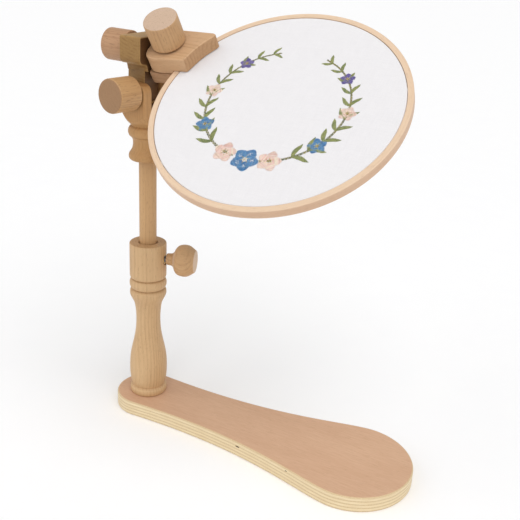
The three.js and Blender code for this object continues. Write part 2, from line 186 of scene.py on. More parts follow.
def wood(name, pale, dark, pith, grain="Z", spacing=2.9, fleck=0.25, offset=(0, 0, 0), end=0.45,
         cap=None, gap_shade=None):
    """Solid wood: growth rings about a pith line along the grain, fibre, flecks and pores. The end
    grain may have a cap colour, its own tone with painted light and shade, and the face towards +X
    a painted shade colour, for the shadow in the gap beside the jaw."""
    pale, dark = rgb(*pale), rgb(*dark)
    g = Graph(name)
    spun = GRAIN_TURN[grain]
    p = g.points(spun, offset=offset)
    slow = g.stretch(p, (1, 1, 0.12))
    wander = g.node("TexNoise", {"Vector": slow, "Scale": 0.045, "Detail": 2.0}).outputs["Color"]
    pushed = g.vector("MULTIPLY", g.vector("SUBTRACT", wander, (0.5, 0.5, 0.5)), (7.0, 7.0, 7.0))
    bent = g.vector("ADD", p, pushed)
    x, y, _ = g.split(bent)
    across = g.math("POWER", g.math("ADD", x, -pith[0]), 2.0)
    radius = g.math("SQRT", g.math("ADD", across, g.math("POWER", g.math("ADD", y, -pith[1]), 2.0)))
    year = g.math("FRACT", g.math("DIVIDE", radius, spacing))
    late = g.math("MULTIPLY", g.ramp(year, 0.35, 0.93), g.ramp(year, 1.0, 0.95))
    band = g.noise(g.stretch(p, (1, 1, 0.05)), 0.16, 1.0)
    ring = g.math("MULTIPLY", late, g.ramp(band, 0.3, 0.75))
    fibre = g.noise(g.stretch(p, (1, 1, 0.035)), 2.6, 3.0, 0.65)
    streak = g.noise(g.stretch(p, (1, 1, 0.02)), 0.55, 2.0)
    dash = g.ramp(g.noise(g.stretch(p, (1, 1, 0.11)), 1.75, 1.0, 0.4), 0.63, 0.71)
    patch = g.noise(p, 0.03, 1.0)
    normal = g.node("TexCoord").outputs["Normal"]
    along = g.node("Mapping", {"Vector": normal, "Rotation": spun}, vector_type="VECTOR").outputs[0]
    facing = g.math("ABSOLUTE", g.split(along)[2])
    end_grain = g.ramp(facing, 0.6, 0.92)

    tone = g.total(-0.2, (ring, 0.3), (fibre, 0.3), (streak, 0.3), (patch, 0.35), (end_grain, end))
    color = g.mix(tone, pale, dark)
    # The cap colour is painted on the end faces: partly end-grain tone, partly painted light and shade
    # of how those faces are lit.
    if cap:
        color = g.mix(g.math("MULTIPLY", end_grain, 0.72), color, rgb(*cap))
    color = g.mix(g.math("MULTIPLY", dash, fleck), color, times(dark, 0.42))
    # Painted shade: the face towards +X, which sits in the narrow gap beside the jaw, is darkened as if
    # in shadow.
    if gap_shade:
        front = g.ramp(g.split(normal)[0], 0.85, 0.97)
        color = g.mix(g.math("MULTIPLY", front, 0.85), color, rgb(*gap_shade))
    height = g.total(0.0, (fibre, 0.5), (dash, -0.7))
    shine = g.total(0.41, (fibre, 0.18))
    return g.finish(color, shine, height, 0.3, 0.00012, **{"Specular IOR Level": 0.32})


def plywood():
    """Faced plywood: a pinkish veneer on the flats, pale and cross-grained plies at the edge."""
    g = Graph("plywood")
    p = g.points()
    x, y, z = g.split(p)
    # The veneer's own grain runs along the board.
    lines = g.noise(g.stretch(p, (0.045, 1, 1)), 1.5, 3.0, 0.6)
    pores = g.ramp(g.noise(g.stretch(p, (0.1, 1, 1)), 1.9, 1.0, 0.4), 0.60, 0.70)
    cloud = g.noise(g.stretch(p, (0.25, 1, 1)), 0.05, 3.0, 0.6)
    face = g.mix(g.ramp(lines, 0.2, 0.85), rgb(216, 178, 146), rgb(203, 161, 129))
    face = g.mix(g.math("MULTIPLY", g.ramp(cloud, 0.35, 0.75), 0.3), face, rgb(196, 152, 121))
    face = g.mix(g.math("MULTIPLY", pores, 0.16), face, rgb(150, 106, 78))
    # Plies, wavy by a tenth of a millimetre or two.
    wave = g.math("MULTIPLY", g.math("SUBTRACT", g.noise(p, 0.035, 2.0), 0.5), 0.9)
    level = g.math("ADD", z, wave)
    place = g.math("FRACT", g.math("DIVIDE", g.math("ADD", level, -0.55), 3.3))
    cross = g.math("MULTIPLY", g.ramp(place, 0.0, 0.06), g.ramp(place, 0.40, 0.34))
    glue_low = g.ramp(g.math("ABSOLUTE", place), 0.035, 0.0)
    glue_high = g.ramp(g.math("ABSOLUTE", g.math("SUBTRACT", place, 0.4)), 0.035, 0.0)
    specks = g.noise(p, 2.4, 2.0, 0.6)
    length = g.noise(g.stretch(p, (0.06, 0.06, 2.2)), 1.3, 2.0, 0.6)
    long_ply = g.mix(g.ramp(length, 0.3, 0.75), rgb(236, 218, 182), rgb(220, 197, 156))
    cross_ply = g.mix(g.ramp(specks, 0.35, 0.7), rgb(222, 200, 160), rgb(196, 168, 126))
    edge = g.mix(cross, long_ply, cross_ply)
    glue = g.math("MAXIMUM", glue_low, glue_high)
    edge = g.mix(g.math("MULTIPLY", glue, 0.3), edge, rgb(164, 128, 88))
    # A gap left in one ply of the near edge, and a smaller one further along: dark patches of painted
    # shade where the recesses are, with nothing cut from the board.
    for gap_x, gap_z, long, high in ((0.0, 10.6, 2.6, 0.8), (55.0, 12.4, 1.3, 0.5)):
        dx = g.math("DIVIDE", g.math("ADD", x, -gap_x), long)
        dz = g.math("DIVIDE", g.math("ADD", z, -gap_z), high)
        reach = g.math("ADD", g.math("POWER", dx, 2.0), g.math("POWER", dz, 2.0))
        hole = g.math("MULTIPLY", g.ramp(reach, 1.0, 0.55), g.ramp(y, 0.0, -5.0))
        edge = g.mix(hole, edge, rgb(66, 44, 26))
    top = BASE["thick"]
    flat = g.math("MAXIMUM", g.ramp(z, top - 0.18, top - 0.07), g.ramp(z, 0.18, 0.07))
    color = g.mix(flat, edge, face)
    height = g.total(0.0, (lines, 0.5), (pores, -0.6))
    return g.finish(color, 0.52, height, 0.22, 0.0001, **{"Specular IOR Level": 0.35})


def bent_wood(name, pale, dark, seed):
    """A steam-bent strip: its grain follows the ring."""
    g = Graph(name)
    p = g.points((0, 0, -RING_TURN))
    x, y, z = g.split(p)
    angle = g.math("ARCTAN2", y, x)
    run = g.math("MULTIPLY", angle, 100.0)  # about the rings' radius, so run is in millimetres
    radius = g.math("SQRT", g.math("ADD", g.math("POWER", x, 2.0), g.math("POWER", y, 2.0)))
    strip = g.node("CombineXYZ", {0: g.math("ADD", radius, seed), 1: z, 2: run}).outputs[0]
    fibre = g.noise(g.stretch(strip, (1, 1, 0.03)), 2.4, 3.0, 0.65)
    streak = g.noise(g.stretch(strip, (1, 1, 0.012)), 0.5, 2.0)
    dash = g.ramp(g.noise(g.stretch(strip, (1, 1, 0.1)), 1.9, 1.0, 0.4), 0.63, 0.71)
    patch = g.noise(p, 0.02, 1.0)
    side = g.ramp(z, HOOP_HIGH - 0.35, HOOP_HIGH - 1.0)
    tone = g.total(-0.38, (fibre, 0.4), (streak, 0.5), (patch, 0.3), (side, 0.5))
    color = g.mix(tone, pale, dark)
    color = g.mix(g.math("MULTIPLY", dash, 0.22), color, times(dark, 0.5))
    height = g.total(0.0, (fibre, 0.5), (dash, -0.5))
    return g.finish(color, 0.46, height, 0.2, 0.0001, **{"Specular IOR Level": 0.38})


# Cloth, thread and metal ------------------------------------
def woven():
    """Plain-weave cotton: warp and weft pass over each other, with thick and thin threads."""
    g = Graph("woven_cotton")
    p = g.points()
    slub = g.node("TexNoise", {"Vector": p, "Scale": 0.3, "Detail": 1.0}).outputs["Color"]
    drifted = g.vector("ADD", p, g.vector("MULTIPLY", slub, (0.5, 0.5, 0.5)))
    x, y, _ = g.split(drifted)
    pitch = 0.48
    u = g.math("DIVIDE", x, pitch)
    v = g.math("DIVIDE", y, pitch)
    over = g.math("MODULO", g.math("ADD", g.math("FLOOR", u), g.math("FLOOR", v)), 2.0)
    over = g.math("ABSOLUTE", over)
    warp = g.math("SINE", g.math("MULTIPLY", g.math("FRACT", u), math.pi))
    weft = g.math("SINE", g.math("MULTIPLY", g.math("FRACT", v), math.pi))
    up = g.math("MULTIPLY", warp, g.math("SUBTRACT", 1.0, over))
    height = g.math("ADD", up, g.math("MULTIPLY", weft, over))
    thick = g.noise(g.stretch(p, (0.06, 1, 1)), 1.6, 1.0)
    thin = g.noise(g.stretch(p, (1, 0.06, 1)), 1.6, 1.0)
    uneven = g.math("MULTIPLY", g.math("ADD", thick, thin), 0.5)
    # Each thread is paler along its raised middle and darker at its edges and where it dips: painted
    # shade of the weave's relief. The thick and thin threads add the cloth's own uneven tone.
    tone = g.total(0.0, (height, 0.55), (uneven, 0.45))
    color = g.mix(tone, rgb(213, 211, 213), rgb(244, 242, 243))
    return g.finish(
        color, 0.92, g.total(height, (uneven, 0.8)), 0.45, 0.00012,
        **{"Sheen Weight": 0.25, "Sheen Roughness": 0.5, "Specular IOR Level": 0.2},
    )


def thread():
    """Stranded cotton: each stitch has its own colour, with a fine twist and a soft gloss."""
    g = Graph("stranded_cotton")
    own = g.node("Attribute", attribute_name="dye").outputs["Color"]
    p = g.points()
    twist = g.noise(p, 3.2, 2.0)
    color = g.mix(g.ramp(twist, 0.3, 0.75), own, (1, 1, 1, 1), "SOFT_LIGHT")
    return g.finish(
        color, 0.55, twist, 0.35, 0.0001,
        **{"Sheen Weight": 0.3, "Specular IOR Level": 0.35},
    )


def metal(name, pale, dark):
    """Turned metal with faint tool marks and a light tarnish."""
    g = Graph(name)
    p = g.points()
    turning = g.noise(g.stretch(p, (1, 1, 6)), 1.4, 3.0, 0.6)
    tarnish = g.noise(p, 0.12, 2.0)
    color = g.mix(g.ramp(tarnish, 0.35, 0.7), pale, dark)
    shine = g.total(0.26, (turning, 0.2))
    return g.finish(color, shine, turning, 0.12, 0.00005, Metallic=1.0)


WOODS = {
    "post": dict(pale=(216, 182, 138), dark=(174, 133, 90), pith=(30, 22), offset=(3, 5, 0)),
    "rod": dict(
        pale=(209, 169, 122), dark=(160, 118, 74), pith=(60, 8), spacing=3.6, offset=(9, 2, 40),
    ),
    "head": dict(pale=(194, 151, 100), dark=(148, 104, 60), pith=(34, -20), offset=(1, 8, 90)),
    "knob_low": dict(
        # The cap is the end that faces away from the light: end-grain tone darkened with painted shade.
        pale=(200, 160, 113), dark=(152, 109, 68), cap=(148, 114, 84), end=0.3,
        pith=(24, 10), spacing=2.6, fleck=0.42, offset=(4, 3, 7),
    ),
    "knob_back": dict(
        pale=(192, 152, 117), dark=(149, 106, 71), end=0.3,
        pith=(26, -14), spacing=2.8, fleck=0.4, offset=(7, 1, 17),
    ),
    "knob_top": dict(
        # The cap is the lit top: end-grain tone paled with painted light.
        pale=(205, 166, 122), dark=(160, 118, 80), cap=(204, 180, 161), end=0.0,
        pith=(20, -22), spacing=2.4, fleck=0.45, offset=(2, 9, 31),
    ),
    "knob_side": dict(
        pale=(212, 173, 128), dark=(172, 127, 84), cap=(222, 194, 166), end=0.0,
        pith=(22, 16), spacing=2.5, fleck=0.35, offset=(5, 5, 51),
    ),
    "link": dict(
        # The face towards +X gets a dark painted shade, for the shadow in the gap beside the jaw.
        pale=(179, 143, 89), dark=(129, 94, 50), gap_shade=(70, 40, 22), end=0.3,
        grain="Y", pith=(8, -60), spacing=2.7, fleck=0.35, offset=(3, 7, 12),
    ),
    "jaw_top": dict(
        pale=(211, 173, 134), dark=(170, 128, 88), end=0.4,
        grain="X", pith=(20, 46), spacing=3.4, offset=(11, 4, 2),
    ),
    "jaw_low": dict(
        pale=(192, 154, 119), dark=(143, 103, 71), end=0.3,
        grain="X", pith=(-30, 40), spacing=3.0, fleck=0.3, offset=(6, 8, 22),
    ),
}
MATERIALS = {key: wood("beech_" + key, **look) for key, look in WOODS.items()}
MATERIALS.update({
    "ply": plywood(),
    "outer": bent_wood("bent_outer", rgb(229, 203, 174), rgb(204, 165, 134), 0.0),
    "inner": bent_wood("bent_inner", rgb(238, 205, 162), rgb(206, 160, 116), 40.0),
    "cloth": woven(),
    "thread": thread(),
    "steel": metal("zinc_steel", rgb(196, 198, 202), rgb(160, 163, 168)),
    "brass": metal("brass", rgb(214, 176, 104), rgb(176, 138, 74)),
})


# Meshes, in millimetres -------------------------------------
def new_object(name, data):
    obj = bpy.data.objects.new(name, data)
    bpy.context.scene.collection.objects.link(obj)
    return obj


def to_object(name, bm):
    bmesh.ops.recalc_face_normals(bm, faces=bm.faces)
    mesh = bpy.data.meshes.new(name)
    bm.to_mesh(mesh)
    bm.free()
    return new_object(name, mesh)


def polar(r, angle, centre=(0, 0)):
    return Vector((centre[0] + r * math.cos(angle), centre[1] + r * math.sin(angle)))


def loft(name, rings):
    """A skin over rings of (x, y, z) points, closed by a face at each end."""
    bm = bmesh.new()
    rows = [[bm.verts.new((x * MM, y * MM, z * MM)) for x, y, z in ring] for ring in rings]
    for low, high in zip(rows, rows[1:]):
        for i in range(len(low)):
            j = (i + 1) % len(low)
            bm.faces.new((low[i], low[j], high[j], high[i]))
    bm.faces.new(rows[0][::-1])
    bm.faces.new(rows[-1])
    return to_object(name, bm)


def arc_corner(before, corner, after, r, steps):
    """Points that round a corner by r."""
    if r <= 0:
        return [corner]
    a, b = (before - corner).normalized(), (after - corner).normalized()
    half = a.angle(b) / 2
    reach = r / math.tan(half)
    start, end = corner + a * reach, corner + b * reach
    curve = []
    for i in range(steps + 1):
        t = i / steps
        curve.append(start * (1 - t) ** 2 + corner * 2 * t * (1 - t) + end * t * t)
    return curve


def rounded(points, steps=8, closed=True):
    """A line through (x, y) or (x, y, corner radius) points."""
    corners = [(Vector(p[:2]), p[2] if len(p) > 2 else 0) for p in points]
    line = []
    for i, (corner, r) in enumerate(corners):
        if not closed and i in (0, len(corners) - 1):
            line.append(corner)
            continue
        before, after = corners[i - 1][0], corners[(i + 1) % len(corners)][0]
        line.extend(arc_corner(before, corner, after, r, steps))
    return line


def flowing(points, steps=5):
    """A smooth profile through (r, z) points. A third value of 1 keeps a point sharp."""
    run, line = [], []
    for i, p in enumerate(points):
        run.append(Vector(p[:2]))
        if len(run) > 1 and (len(p) > 2 or i == len(points) - 1):
            padded = [run[0] * 2 - run[1]] + run + [run[-1] * 2 - run[-2]]
            for k in range(1, len(padded) - 2):
                a, b, c, d = padded[k - 1:k + 3]
                for s in range(steps):
                    t = s / steps
                    bend = (2 * a - 5 * b + 4 * c - d) * t * t + (3 * b - a - 3 * c + d) * t ** 3
                    line.append(0.5 * (2 * b + (c - a) * t + bend))
            run = [run[-1]]
    line.append(run[-1])
    return line


def turned(name, profile, steps=96):
    """A solid turned about +Z. Its (r, z) points start and end on the axis, or close on themselves."""
    bm = bmesh.new()
    rings = []
    for r, z in profile:
        if r < 1e-6:
            rings.append([bm.verts.new((0, 0, z * MM))] * steps)
            continue
        angles = [2 * math.pi * i / steps for i in range(steps)]
        points = [(r * math.cos(a) * MM, r * math.sin(a) * MM, z * MM) for a in angles]
        rings.append([bm.verts.new(p) for p in points])
    first_again = rings[:1] if profile[0][0] > 1e-6 else []
    for low, high in zip(rings, rings[1:] + first_again):
        for i in range(steps):
            j = (i + 1) % steps
            # A quad beside the axis has two corners in one place, and becomes a triangle.
            corners = list(dict.fromkeys((low[i], low[j], high[j], high[i])))
            if len(corners) > 2:
                bm.faces.new(corners)
    return to_object(name, bm)


def slab(name, line, z0, z1, ease, steps=4):
    """A closed outline raised from z0 to z1 with its rims rounded by ease."""
    count = len(line)
    area = sum(line[i - 1].cross(line[i]) for i in range(count))
    if area < 0:
        line = line[::-1]
    inward = []
    for i in range(count):
        a = (line[i] - line[i - 1]).normalized()
        b = (line[(i + 1) % count] - line[i]).normalized()
        bisector = Vector((-a.y - b.y, a.x + b.x))
        scale = bisector.dot(Vector((-a.y, a.x)))
        inward.append(bisector / max(scale, 0.3))
    levels = []
    for k in range(steps + 1):
        a = math.pi / 2 * k / steps
        levels.append((ease * (1 - math.sin(a)), z0 + ease * (1 - math.cos(a))))
    levels += [(inset, z0 + z1 - z) for inset, z in reversed(levels)]
    rings = [
        [(p.x + n.x * inset, p.y + n.y * inset, z) for p, n in zip(line, inward)]
        for inset, z in levels
    ]
    return loft(name, rings)


def moved(obj, matrix):
    obj.data.transform(matrix)
    return obj


def cylinder(r, z0, z1, at=WORLD, steps=64):
    return moved(turned("cutter", [(0, z0), (r, z0), (r, z1), (0, z1)], steps), at)


def block(x0, x1, y0, y1, z0, z1):
    line = [Vector(c) for c in ((x0, y0), (x1, y0), (x1, y1), (x0, y1))]
    return slab("cutter", line, z0, z1, 0.0, 1)


def combine(obj, other, operation):
    """Boolean of two objects, applied. The second one is used up."""
    cut = obj.modifiers.new("cut", "BOOLEAN")
    cut.operation = operation
    cut.object = other
    cut.solver = "EXACT"
    bpy.context.view_layer.update()
    graph = bpy.context.evaluated_depsgraph_get()
    mesh = bpy.data.meshes.new_from_object(obj.evaluated_get(graph))
    obj.modifiers.clear()
    obj.data = mesh
    bpy.data.objects.remove(other)
    return obj


def cut_from(obj, *tools):
    for tool in tools:
        combine(obj, tool, "DIFFERENCE")
    return obj


def shade(obj, angle=38):
    """Smooth shading that keeps corners sharper than the angle."""
    bm = bmesh.new()
    bm.from_mesh(obj.data)
    bmesh.ops.remove_doubles(bm, verts=bm.verts, dist=1e-6)
    bmesh.ops.dissolve_degenerate(bm, edges=bm.edges, dist=1e-6)
    for face in bm.faces:
        face.smooth = True
    for edge in bm.edges:
        edge.smooth = edge.calc_face_angle(0.0) < math.radians(angle)
    bm.to_mesh(obj.data)
    bm.free()
    weights = obj.modifiers.new("weights", "WEIGHTED_NORMAL")
    weights.keep_sharp = True


def place(obj, name, at, body, material, slot, *nodes, angle=38):
    """Names, shades and paints a piece, and rides it on its body in place of its CAD nodes."""
    obj.name = name
    obj.data.name = name
    shade(obj, angle)
    obj.matrix_world = at
    obj.data.materials.clear()
    obj.data.materials.append(MATERIALS[material])
    bpy.context.view_layer.update()
    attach(obj, body)
    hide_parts(*nodes)
    return obj


# Base and post ----------------------------------------------
def base_outline():
    """Two round ends joined by sides that bend from one to the other."""
    b, s, angle = BASE, BASE_SIDE, BASE_SIDE["turn"]
    small_end, big_end = (b["small_x"], 0), (b["big_x"], 0)
    small, big = polar(b["small_r"], angle, small_end), polar(b["big_r"], angle, big_end)
    away = Vector((math.sin(angle), -math.cos(angle)))
    leave, arrive = small + away * s["small_reach"], big - away * s["big_reach"]
    nose = [polar(b["big_r"], angle * (i / 30 - 1), big_end) for i in range(61)]
    heel = [
        polar(b["small_r"], angle + (2 * math.pi - 2 * angle) * i / 40, small_end) for i in range(41)
    ]
    side = []
    for i in range(1, 60):
        t = i / 60
        u = 1 - t
        side.append(big * u ** 3 + arrive * 3 * t * u * u + leave * 3 * t * t * u + small * t ** 3)
    back = [Vector((p.x, -p.y)) for p in reversed(side)]
    return nose + side + heel + back


def make_base():
    board = slab("base", base_outline(), 0, BASE["thick"], BASE["ease"], 6)
    well = cylinder(WELL_R, -1, WELL_DEEP, POST)
    cut_from(board, well, cylinder(FOOT_HOLE, 0, BASE["thick"] + 1, POST))
    place(board, "base", WORLD, "stand", "ply", "veneered_ply", "base_board")


POST_PROFILE = [
    (16.9, 15, 1), (17.9, 16.3), (18.15, 19), (17.6, 21.3), (15.8, 23.2, 1), (16.5, 25),
    (17.3, 28.5), (18.0, 34), (18.3, 41), (18.2, 48), (17.4, 57), (15.9, 65), (13.9, 74),
    (12.4, 83), (11.75, 92), (11.75, 99), (12.3, 107), (13.5, 113.5), (15.8, 118.6), (17.2, 121.8),
    (17.5, 124.2), (17.0, 126.8), (15.0, 128.8, 1), (16.7, 130.0), (17.6, 132.4), (17.6, 135.2),
    (16.7, 137.6), (15.0, 139.2, 1), (16.8, 140.3), (17.4, 142.2), (17.45, 145, 1), (17.45, 173.2, 1),
    (17.2, 174.4), (16.4, POST_TOP, 1),
]


def make_post():
    mouth = 0.6
    inside = [(BORE + mouth, POST_TOP), (BORE, POST_TOP - mouth), (BORE, BORE_FLOOR), (0, BORE_FLOOR)]
    post = turned("post", [(0, BASE["thick"])] + flowing(POST_PROFILE) + inside, 112)
    cut_from(post, cylinder(INSERT_R + GAP, BORE - 2, 22, POST.inverted() @ SCREW))
    place(post, "post", POST, "stand", "post", "turned_beech", "lower_post")


def make_mast():
    e = 0.7
    rod = turned("mast", [
        (0, ROD_BOTTOM), (ROD_R - e, ROD_BOTTOM), (ROD_R, ROD_BOTTOM + e), (ROD_R, ROD_TOP - e),
        (ROD_R - e, ROD_TOP), (0, ROD_TOP),
    ], 80)
    place(rod, "mast", POST, "mast", "rod", "dowel", "mast_rod")


# Knobs and hardware, each about +Z of its own axis ----------
def make_knob(name, r, z0, at, body, material, node):
    socket, seat, top = INSERT_R + GAP, z0 + INSERT_LONG + 2 * GAP, z0 + KNOB_LONG
    hollow = [(0, top - KNOB_CROWN), (BOLT_HOLE, top - KNOB_CROWN), (BOLT_HOLE, seat), (socket, seat)]
    outside = rounded([(socket, z0), (r, z0, 1.0), (r, top, 1.7), (0, top)], 6, closed=False)
    knob = turned(name, hollow + outside, 96)
    place(knob, name, at, body, material, "turned_beech", node)


HEIGHT_KNOB_FOOT, HEIGHT_KNOB_HOLE = 18.4, 40
HEIGHT_KNOB_PROFILE = [
    (5.1, HEIGHT_KNOB_FOOT, 1), (5.5, 19.2), (5.7, 21.4), (6.1, 23.6), (8.0, 25.6), (11.0, 27.0),
    (13.4, 29.0), (14.7, 31.6), (15.2, 34.6), (15.1, 37.6), (14.4, 40.0), (13.0, 42.4), (11.3, 44.7, 1),
    (10.9, 45.5), (10.2, 45.95), (9.4, 46, 1), (5, 46, 1), (0, 46),
]


def make_height_knob():
    hollow = [(0, HEIGHT_KNOB_HOLE), (BOLT_HOLE, HEIGHT_KNOB_HOLE), (BOLT_HOLE, HEIGHT_KNOB_FOOT)]
    knob = turned("height_knob", hollow + flowing(HEIGHT_KNOB_PROFILE), 96)
    place(knob, "height_knob_wood", SCREW, "height_knob", "knob_side", "turned_beech", "height_knob")


def make_washer(name, z0, at, body, node):
    inner, outer, top, e = BOLT_HOLE, WASHER_R, z0 + WASHER_THICK, 0.25
    line = [
        (inner + e, z0), (outer - e, z0), (outer, z0 + e), (outer, top - e),
        (outer - e, top), (inner + e, top), (inner, top - e), (inner, z0 + e),
    ]
    place(turned(name, line, 64), name, at, body, "steel", "steel", node)


def make_insert(name, z0, at, body, node, r=INSERT_R, long=INSERT_LONG, hole=BOLT_HOLE):
    """A threaded bush with a coarse thread outside and a small countersink."""
    root, sink, top = r - 0.55, hole + 0.5, z0 + long
    turns = int(long / 2)
    pitch = (long - 1) / turns
    line = [(sink, z0), (r - 0.6, z0)]
    for i in range(turns):
        z = z0 + 0.5 + i * pitch
        line += [(root, z), (r, z + 0.45 * pitch), (r, z + 0.6 * pitch), (root, z + pitch)]
    line += [(r - 0.6, top), (sink, top), (hole, top - 0.5), (hole, z0 + 0.5)]
    place(turned(name, line, 48), name, at, body, "brass", "brass", node)


def threaded(name, r, z0, z1, pitch=1.0, steps=28):
    """A helical thread about +Z whose ends taper to a flat."""
    depth, flat, run_out, rows_per_turn = 0.434 * pitch, 0.12, 0.8, 6
    rows = int((z1 - z0) / pitch * rows_per_turn)
    rings = []
    for k in range(rows + 1):
        z = z0 + (z1 - z0) * k / rows
        ease = min(1.0, (z - z0) / run_out + 0.25, (z1 - z) / run_out + 0.25)
        ring = []
        for i in range(steps):
            a = 2 * math.pi * i / steps
            wave = abs(2 * (((z - z0) / pitch - i / steps) % 1.0) - 1)
            flank = min(1.0, max(0.0, (wave - flat) / (1 - 2 * flat)))
            radius = r - depth * (1 - flank * ease)
            ring.append((radius * math.cos(a), radius * math.sin(a), z))
        rings.append(ring)
    return loft(name, rings)


def hex_head(z0, high, across_flats):
    """A hexagon head below z0, with its underside corners turned off."""
    r, low = across_flats / math.sqrt(3), z0 - high
    head = slab("head", [polar(r, math.pi / 3 * i) for i in range(6)], low, z0, 0.15, 2)
    flat, edge = across_flats * 0.47, r + 0.4
    dome = [(0, low - 0.01), (flat, low - 0.01), (edge, low + 1.1), (edge, z0 + 0.1), (0, z0 + 0.1)]
    return combine(head, turned("cutter", dome, 48), "INTERSECT")


def joined(name, *objects):
    """Several closed shells that touch, as one mesh."""
    bm = bmesh.new()
    for obj in objects:
        bm.from_mesh(obj.data)
        bpy.data.objects.remove(obj)
    return to_object(name, bm)


def place_steel(obj, name, at, body, node):
    place(obj, name, at, body, "steel", "steel", node, angle=30)


def make_bolt(name, z0, z1, at, body, node):
    bolt = joined(name, hex_head(z0, 4, 10), threaded("shank", BOLT_R, z0 - 0.5, z1))
    place_steel(bolt, name, at, body, node)


def make_lower_pivot():
    near, far = HEAD_Y, -HEAD_Y - GAP - WASHER_THICK
    knob_at = near + KNOB_STAND
    make_bolt("pivot_bolt", far - GAP, near + 17, LOWER_PIVOT, "head", "lower_pivot_bolt")
    make_washer("pivot_washer_far", far, LOWER_PIVOT, "head", "lower_far_washer")
    make_washer("pivot_washer_near", near + GAP, LOWER_PIVOT, "head", "lower_near_washer")
    make_knob(
        "pivot_knob", KNOB_R, knob_at, LOWER_PIVOT, "lower_knob", "knob_low", "lower_pivot_knob",
    )
    make_insert("pivot_insert", knob_at + GAP, LOWER_PIVOT, "lower_nut", "lower_knob_insert")


def make_upper_pivot():
    back, face = -LINK_BACK, -JAW_REAR_X
    knob_at = back + KNOB_STAND
    stud = threaded("tilt_stud", BOLT_R, face - 11.5, back + 17)
    place_steel(stud, "tilt_stud", UPPER_PIVOT, "clamp", "upper_pivot_bolt")
    make_insert(
        "tilt_bush", face - 11, UPPER_PIVOT, "clamp", "upper_pivot_insert", BUSH_R, BUSH_LONG,
    )
    make_washer("tilt_washer", back + GAP, UPPER_PIVOT, "link", "upper_pivot_washer")
    make_knob(
        "tilt_knob", 13.8, knob_at, UPPER_PIVOT, "upper_knob", "knob_back", "upper_pivot_knob",
    )
    make_insert("tilt_insert", knob_at + GAP, UPPER_PIVOT, "upper_nut", "upper_knob_insert")


def make_clamp_bolt():
    under = -JAW_TOP - JAW_SPLIT - JAW_LOWER - GAP - WASHER_THICK
    knob_at = JAW_TOP + KNOB_STAND
    make_bolt("jaw_bolt", under - GAP, JAW_TOP + 18, CLAMP_AXIS, "lower_jaw", "clamp_bolt")
    make_washer("jaw_bolt_washer", under, CLAMP_AXIS, "lower_jaw", "clamp_bolt_washer")
    make_washer("jaw_knob_washer", JAW_TOP + GAP, CLAMP_AXIS, "clamp", "clamp_knob_washer")
    make_knob("jaw_knob", KNOB_R, knob_at, CLAMP_AXIS, "clamp_knob", "knob_top", "clamp_knob")
    make_insert("jaw_insert", knob_at + GAP, CLAMP_AXIS, "clamp_knob", "clamp_knob_insert")


def make_height_screw():
    bush = BORE + 0.6
    screw = threaded("post_screw", BOLT_R, 8.5, 38)
    place_steel(screw, "post_screw", SCREW, "height_screw", "height_screw")
    make_insert("post_bush", bush, SCREW, "stand", "socket_insert", long=BUSH_END - bush)


def make_foot_bolt():
    """The bolt up through the board, with a hexagon socket in its round head."""
    low, high, r, seat = 1, 5.2, 8, 5.5
    cap = [(0, low), (r - 0.6, low), (r, low + 0.6), (r, high - 0.4), (r - 0.4, high), (0, high)]
    head = cut_from(turned("foot", cap, 64), hex_head(4, 5, 5))
    foot = joined("foot_bolt", head, threaded("shank", 4, high - 0.4, 50, 1.25))
    place_steel(foot, "foot_bolt", POST, "stand", "base_bolt")
    top = seat + WASHER_THICK
    ring = [(FOOT_HOLE, seat), (WASHER_R, seat), (WASHER_R, top), (FOOT_HOLE, top)]
    washer = turned("foot_washer", ring, 64)
    place(washer, "foot_washer", POST, "stand", "steel", "steel", "base_washer")
    make_insert("post_nut", 15.5, POST, "stand", "post_insert", 6, 25.5, FOOT_HOLE)


# Head, link and jaws ----------------------------------------
HEAD_PROFILE = [
    (13.8, HEAD_BOTTOM, 1), (15.4, 255.3), (16.6, 256.7), (16.9, 258.8), (16.4, 261), (15.2, 262.9, 1),
    (14.0, 264.9), (13.3, 267.4), (13.0, 270.6), (13.3, 273.6), (14.6, 276, 1), (16.2, 277.2),
    (17.2, 279.8), (17.2, 282.2), (16.3, 284.6), (14.5, 286.3, 1), (15.6, 287.8), (18.4, 290.8),
    (21, 295), (22.8, 299.4), (23.8, 305), (24, 310, 1),
]


def make_head():
    """Beads below, and above them two ears squared from the round, with a slot between."""
    ears_r, below = HEAD_PROFILE[-1][0], HEAD_BOTTOM - 5
    profile = [(0, HEAD_BOTTOM)] + flowing(HEAD_PROFILE) + [(ears_r, HEAD_TOP), (0, HEAD_TOP)]
    head = turned("head", profile, 112)
    side = [(-HEAD_X, below), (HEAD_X, below), (HEAD_X, HEAD_TOP, 9), (-HEAD_X, HEAD_TOP, 9)]
    squared = moved(slab("squared", rounded(side, 10), -HEAD_Y, HEAD_Y, 1.1, 4), Z_TO_NEAR)
    lathed = block(-HEAD_X - 3, HEAD_X + 3, -HEAD_Y, HEAD_Y, HEAD_BOTTOM - 1, LATHED_TOP)
    combine(head, combine(squared, lathed, "UNION"), "INTERSECT")
    cut_from(
        head,
        block(-HEAD_X - 4, HEAD_X + 4, -SLOT_HALF, SLOT_HALF, SLOT_FLOOR, HEAD_TOP + 1),
        cylinder(ROD_R + GAP, HEAD_BOTTOM - 1, ROD_TOP + 1, steps=80),
        cylinder(BOLT_HOLE, -THROUGH, THROUGH, shift(0, 0, PIVOT_Z) @ Z_TO_NEAR),
    )
    place(head, "clevis_head", HEAD, "head", "head", "turned_beech", "mast_head")


